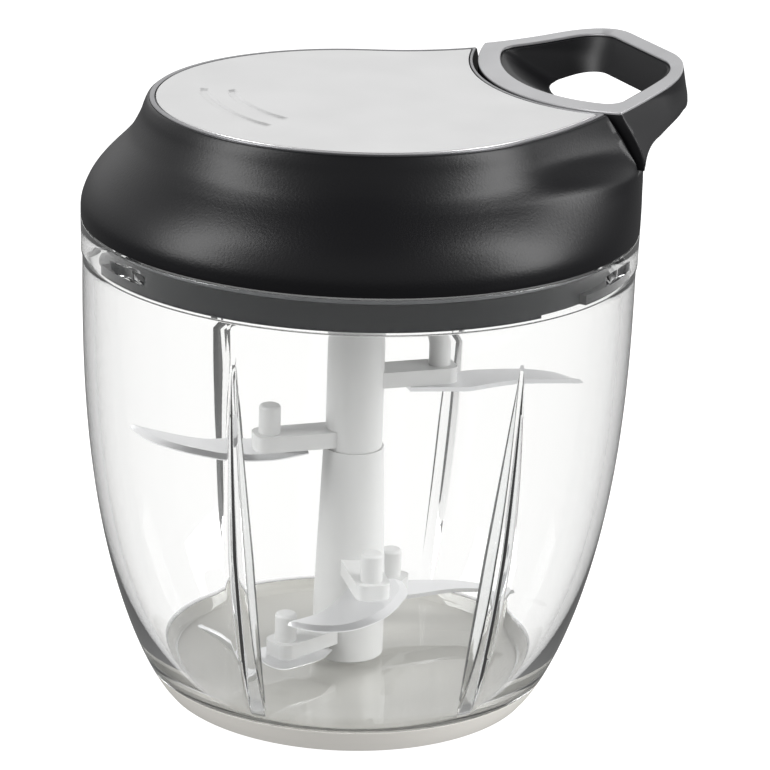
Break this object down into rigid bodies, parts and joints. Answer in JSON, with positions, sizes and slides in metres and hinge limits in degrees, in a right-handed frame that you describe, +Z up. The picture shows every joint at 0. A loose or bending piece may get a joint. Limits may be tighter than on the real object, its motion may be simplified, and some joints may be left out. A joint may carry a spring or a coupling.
{
  "type": "pull-cord food chopper",
  "caption": "Hand food chopper: clear tapering jar, black lid with silver plate, docked pull handle and a bladed shaft driven by a sprung cord spool.",
  "frame": {"origin": "centre of the flat underside of the foot, on the jar's axis", "axes": "+Z up the jar's axis, +X towards the docked pull handle"},
  "size_m": [0.1334, 0.1226, 0.1437],
  "materials": {
    "clear_plastic": "clear, glossy",
    "foot_plastic": "warm light grey, satin",
    "black_plastic": "black, fine spark texture",
    "handle_black": "black, satin",
    "silver_plate": "satin silver",
    "silver_trim": "satin silver, darker",
    "frame_grey": "satin light grey",
    "skirt_plastic": "dark blue-grey, glossy",
    "white_plastic": "white-grey, satin",
    "blade_steel": "satin",
    "screw_steel": "zinc-plated",
    "spring_steel": "blued",
    "acetal": "natural acetal",
    "grey_plastic": "grey",
    "cord_fibre": "braided, off-white",
    "seal_rubber": "soft, grey"
  },
  "bodies": {
    "jar_body": {"jar": "clear_plastic", "foot_cap": "foot_plastic", "floor_pivot": "foot_plastic"},
    "lid_body": {"lid_housing": "black_plastic", "top_plate": "silver_plate", "top_trim": "silver_trim", "lid_skirt": "skirt_plastic", "lid_seal": "seal_rubber", "housing_screws": "screw_steel", "spool_axle": "screw_steel", "axle_screw": "screw_steel", "spool_washer": "screw_steel", "recoil_spring": "spring_steel", "cord_eyelet": "screw_steel", "cord_lead": "cord_fibre"},
    "handle": {"handle_body": "handle_black", "handle_frame": "frame_grey", "cord_anchor": "acetal"},
    "spool_body": {"spool": "acetal", "cord_winding": "cord_fibre", "spring_cover": "grey_plastic"},
    "pawl_a_body": {"pawl_a": "grey_plastic"},
    "pawl_b_body": {"pawl_b": "grey_plastic"},
    "blade_shaft": {"drive_hub": "acetal", "upper_shaft": "white_plastic", "lower_shaft": "white_plastic", "blade_upper_right": "blade_steel", "blade_upper_left": "blade_steel", "blade_lower_front": "blade_steel", "blade_lower_back": "blade_steel", "blade_lower_left": "blade_steel"}
  },
  "joints": [
    {"name": "lid_twist", "type": "hinge", "parent": "jar_body", "child": "lid_body", "pos_m": [0, 0, 0.1042], "axis": [0, 0, 1], "range_deg": [0, 20]},
    {"name": "handle_pull", "type": "slide", "parent": "lid_body", "child": "handle", "axis": [1, 0, 0], "range_m": [0, 0.6], "stiffness_N_per_m": 6, "springref_m": -0.25},
    {"name": "spool_turn", "type": "hinge", "parent": "lid_body", "child": "spool_body", "pos_m": [0, 0, 0.1256], "axis": [0, 0, 1], "range_deg": [-5, 2103]},
    {"name": "blade_turn", "type": "hinge", "parent": "lid_body", "child": "blade_shaft", "pos_m": [0, 0, 0.1018], "axis": [0, 0, 1], "range_deg": [-5, 2103]},
    {"name": "pawl_a_swing", "type": "hinge", "parent": "spool_body", "child": "pawl_a_body", "pos_m": [0.015, 0, 0.1165], "axis": [0, 0, 1], "range_deg": [0, 16]},
    {"name": "pawl_b_swing", "type": "hinge", "parent": "spool_body", "child": "pawl_b_body", "pos_m": [-0.015, 0, 0.1165], "axis": [0, 0, 1], "range_deg": [0, 16]}
  ],
  "couplings": [
    {"joint": "spool_turn", "follows": "handle_pull", "rad_per_m": 60.606},
    {"joint": "blade_turn", "follows": "handle_pull", "rad_per_m": 60.606}
  ]
}
